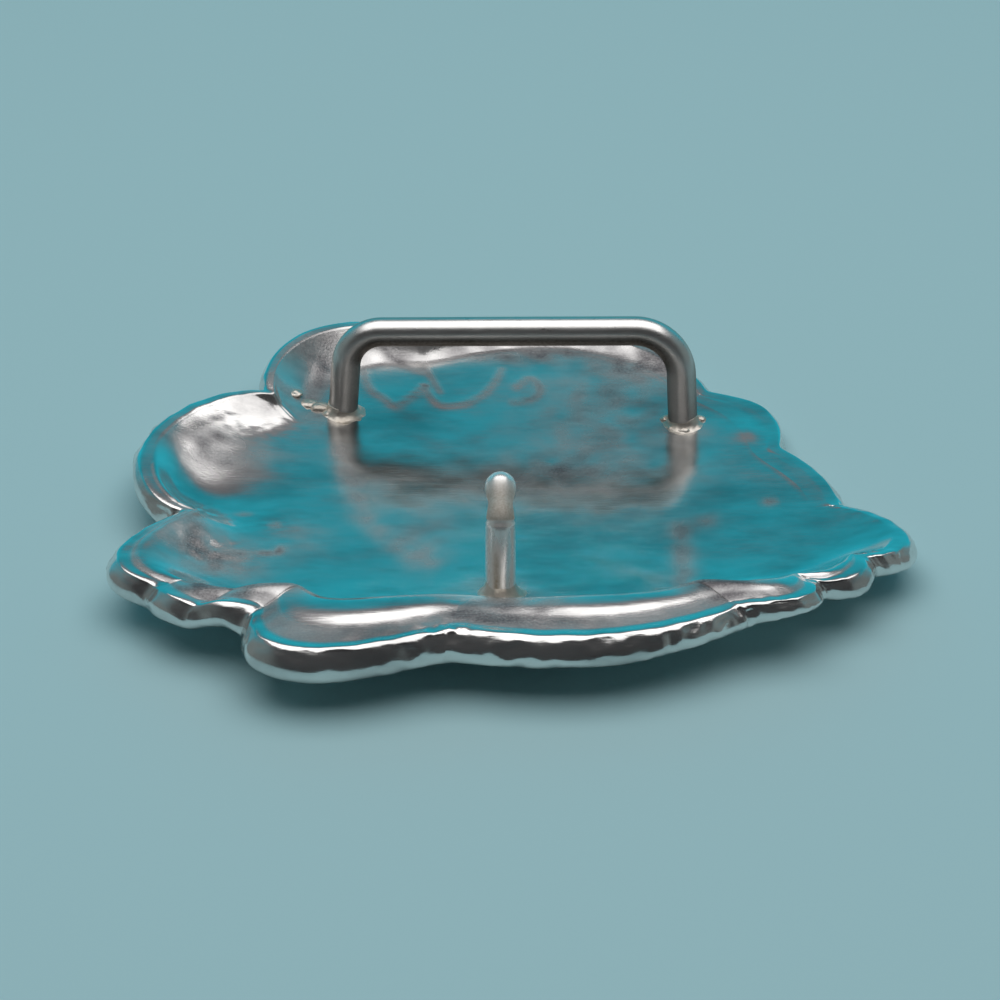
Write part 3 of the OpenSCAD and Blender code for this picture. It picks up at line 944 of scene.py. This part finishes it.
solderSettings = {
    "collars": (  # foot, wire, lean, width, height, seed
        (bailSettings["leftFoot"], bailSettings["wire"], bailSettings["lean"], 1.1, 1.2, 1.0),
        (bailSettings["rightFoot"], bailSettings["wire"], bailSettings["lean"], 1.1, 1.1, 5.0),
        (hookSettings["foot"], hookSettings["post"], hookSettings["postLean"], 1.3, 1.9, 9.0),
    ),
    "collarUneven": (0.3, 1.2),  # share by which width and height vary, and how fast round the collar
    "collarGrain": (0.05, 1.9),  # height, and grains to the millimetre
    "collarSunk": 0.05,
    "skirt": 0.6,  # how deep the collars go into the plate
    "around": 120,
    "up": 16,
    "beads": (  # place, widths along and across, height
        (18.4, 17.6, 0.8, 0.7, 0.6),
        (22.4, 17.4, 0.8, 0.7, 0.6),
        (20.4, 15.1, 1.0, 0.6, 0.5),
        (19.0, 15.6, 0.6, 0.6, 0.4),
        (-23.4, 19.9, 1.4, 1.0, 0.7),
        (-25.0, 20.6, 1.5, 1.0, 0.5),
        (-26.8, 21.6, 1.3, 0.9, 0.35),
        (-22.4, 18.6, 0.8, 0.7, 0.5),
        (-3.6, -20.6, 0.9, 0.8, 0.5),
        (0.6, -20.9, 0.8, 0.7, 0.5),
        (-1.4, -22.0, 1.2, 0.7, 0.5),
    ),
    "beadSunk": 0.1,
    "beadGrain": 0.3,
    "beadGrainsPerMm": 1.1,
}


def makeCollars(s):
    uneven, pace = s["collarUneven"]
    grainHeight, grainsPerMm = s["collarGrain"]
    other = Vector((0, 0, 4))  # so that height varies in another way than width
    points, faces = [], []
    for foot, wire, lean, width, height, seed in s["collars"]:
        start = len(points)
        leaning = math.tan(math.radians(lean))
        rings = [[] for _ in range(s["up"] + 2)]
        for j in range(s["around"]):
            a = 2 * math.pi * j / s["around"]
            way = Vector((math.cos(a), math.sin(a), seed))
            wide = width * (1 + uneven * noise.noise(way * pace))
            tall = height * (1 + uneven * noise.noise(way * pace + other))
            for k in range(s["up"] + 1):
                turn = math.pi / 2 * k / s["up"]
                lift = tall * (1 - math.cos(turn)) - s["collarSunk"]
                r = wire / 2 + wide * (1 - math.sin(turn))
                x = foot[0] + r * way.x
                y = foot[1] + r * way.y + lift * leaning
                spot = Vector((x, y, lift + seed)) * grainsPerMm
                grain = grainHeight * noise.noise(spot) * math.cos(turn)
                rings[k + 1].append((x, y, float(backAt(x, y)) + lift + grain))
            x, y, z = rings[1][-1]
            rings[0].append((x, y, z - s["skirt"]))
        for ring in rings:
            points += ring
        points += [tuple(np.mean(rings[0], axis=0)), tuple(np.mean(rings[-1], axis=0))]
        faces += [[start + v for v in face] for face in skinRings(len(rings), s["around"])]
    return makeMesh("solderCollars", points, faces, solderSilver)


def beadTree(s):
    tree = newTree("beadsOnPlate", Waver=0.0, Metal=solderSilver)
    link = tree.links.new
    start = addNode(tree, "NodeGroupInput")
    ball = addNode(tree, "GeometryNodeMeshIcoSphere", Radius=1.0, Subdivisions=5)
    spread = addNode(tree, "GeometryNodeInstanceOnPoints")
    size = addNode(tree, "GeometryNodeInputNamedAttribute", data_type="FLOAT_VECTOR", Name="size")
    whole = addNode(tree, "GeometryNodeRealizeInstances")
    link(start.outputs["Geometry"], spread.inputs["Points"])
    link(ball.outputs["Mesh"], spread.inputs["Instance"])
    link(size.outputs["Attribute"], spread.inputs["Scale"])
    link(spread.outputs["Instances"], whole.inputs["Geometry"])
    finishTree(tree, whole.outputs["Geometry"], start, s["beadGrainsPerMm"], 3.0)
    return tree


def makeBeads(s):
    places = [(x, y, float(backAt(x, y)) - s["beadSunk"]) for x, y, *_ in s["beads"]]
    source = makeMesh("beadPlaces", places, [], solderSilver)
    sizes = np.array([row[2:] for row in s["beads"]], np.float32) * mm
    source.data.attributes.new("size", "FLOAT_VECTOR", "POINT").data.foreach_set("vector", sizes.ravel())
    return growMesh("solderBeads", source, beadTree(s), Waver=s["beadGrain"] * mm, Metal=solderSilver)


collars = makeCollars(solderSettings)
beads = makeBeads(solderSettings)
print("solder made")


# Floor, backdrop and lights

studioSettings = {
    "floor": (0.46, 0.72, 0.76, 1),
    "floorSize": 3000.0,  # half of its width
    "backdrop": (  # height of the direction and colour, from the horizon up
        (0.00, (0.020, 0.42, 0.55, 1)),
        (0.30, (0.018, 0.36, 0.46, 1)),
        (0.50, (0.016, 0.29, 0.37, 1)),
        (0.62, (0.014, 0.23, 0.30, 1)),
        (0.67, (0.15, 0.145, 0.155, 1)),
        (0.80, (0.18, 0.17, 0.18, 1)),
    ),
    "inFront": (0.02, 0.02, 0.022, 1),  # the side that the hook is nearer to
    "inFrontSpan": (0.1, -0.45),
    "beside": (0.14, 0.17, 0.17, 1),
    "besideSpan": (0.6, 0.95),
    "softboxFrom": (-0.45, -0.30),  # metres
    "softboxTo": (0.45, 0.40),
    "softboxHeight": 0.6,
    "softboxPower": 1.35,  # brightness of its face
}


# Rises softly from 0 to 1 as a part of the direction goes from low to high
def sideShare(tree, value, low, high):
    node = addNode(tree, "ShaderNodeMapRange", interpolation_type="SMOOTHSTEP")
    return feed(tree, node, value, low, high)


def makeBackdrop(s):
    world = bpy.data.worlds.new("studioWorld")
    world.use_nodes = True
    tree = world.node_tree
    way = addNode(tree, "ShaderNodeSeparateXYZ")
    tree.links.new(addNode(tree, "ShaderNodeTexCoord").outputs["Generated"], way.inputs[0])
    rising = addNode(tree, "ShaderNodeValToRGB")
    stops = rising.color_ramp.elements
    while len(stops) < len(s["backdrop"]):
        stops.new(1.0)
    for stop, (height, colour) in zip(stops, s["backdrop"]):
        stop.position, stop.color = height, colour
    tree.links.new(way.outputs["Z"], rising.inputs["Fac"])
    front = sideShare(tree, way.outputs["Y"], *s["inFrontSpan"])
    beside = sideShare(tree, calc(tree, "ABSOLUTE", way.outputs["X"]), *s["besideSpan"])
    tone = blendColours(tree, front, rising.outputs["Color"], s["inFront"])
    tone = blendColours(tree, beside, tone, s["beside"])
    tree.links.new(tone, tree.nodes["Background"].inputs["Color"])
    bpy.context.scene.world = world


def makeSoftbox(s):
    low, high = s["softboxFrom"], s["softboxTo"]
    light = bpy.data.lights.new("softbox", "AREA")
    light.shape = "RECTANGLE"
    light.size, light.size_y = high[0] - low[0], high[1] - low[1]
    light.energy = s["softboxPower"] * math.pi * light.size * light.size_y
    softbox = addObject("softbox", light)
    softbox.location = ((low[0] + high[0]) / 2, (low[1] + high[1]) / 2, s["softboxHeight"])


def makeStudio(s):
    material, _, _ = makeMaterial("floorPaint", Base_Color=s["floor"], Roughness=0.6)
    size = s["floorSize"]
    corners = [(-size, -size, 0), (size, -size, 0), (size, size, 0), (-size, size, 0)]
    makeMesh("studioFloor", corners, [[0, 1, 2, 3]], material)
    makeBackdrop(s)
    makeSoftbox(s)
    bpy.context.scene.view_settings.view_transform = "Standard"


makeStudio(studioSettings)
print("studio lit")

for piece in (plate, bail, hook, collars, beads):
    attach(piece, "root")
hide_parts("buckle")

print("finished")
